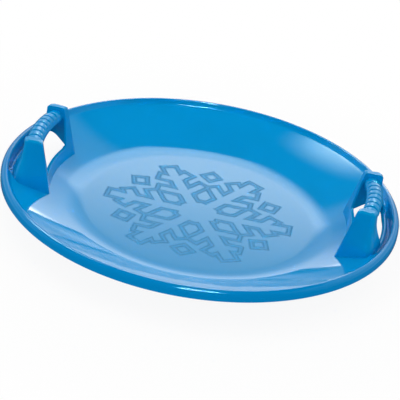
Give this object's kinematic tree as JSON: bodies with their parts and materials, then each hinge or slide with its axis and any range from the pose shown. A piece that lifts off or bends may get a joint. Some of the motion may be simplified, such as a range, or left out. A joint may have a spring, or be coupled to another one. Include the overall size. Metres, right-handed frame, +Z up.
{
  "type": "snow slider",
  "caption": "Round rigid snow saucer: a shallow dished pan with a rolled rim and raised hand grips standing at opposite sides inside the rim.",
  "frame": {"origin": "centre of the flat underside of the pan", "axes": "+Z up, X through the middles of both handles, Y along the grips"},
  "size_m": [0.599, 0.599, 0.0977],
  "materials": {
    "shell": "glossy blue moulded plastic",
    "grips": "glossy blue moulded plastic, ribbed"
  },
  "bodies": {
    "root": {"pan": "shell", "left_handle_frame": "shell", "right_handle_frame": "shell", "left_grip": "grips", "right_grip": "grips"}
  },
  "joints": []
}
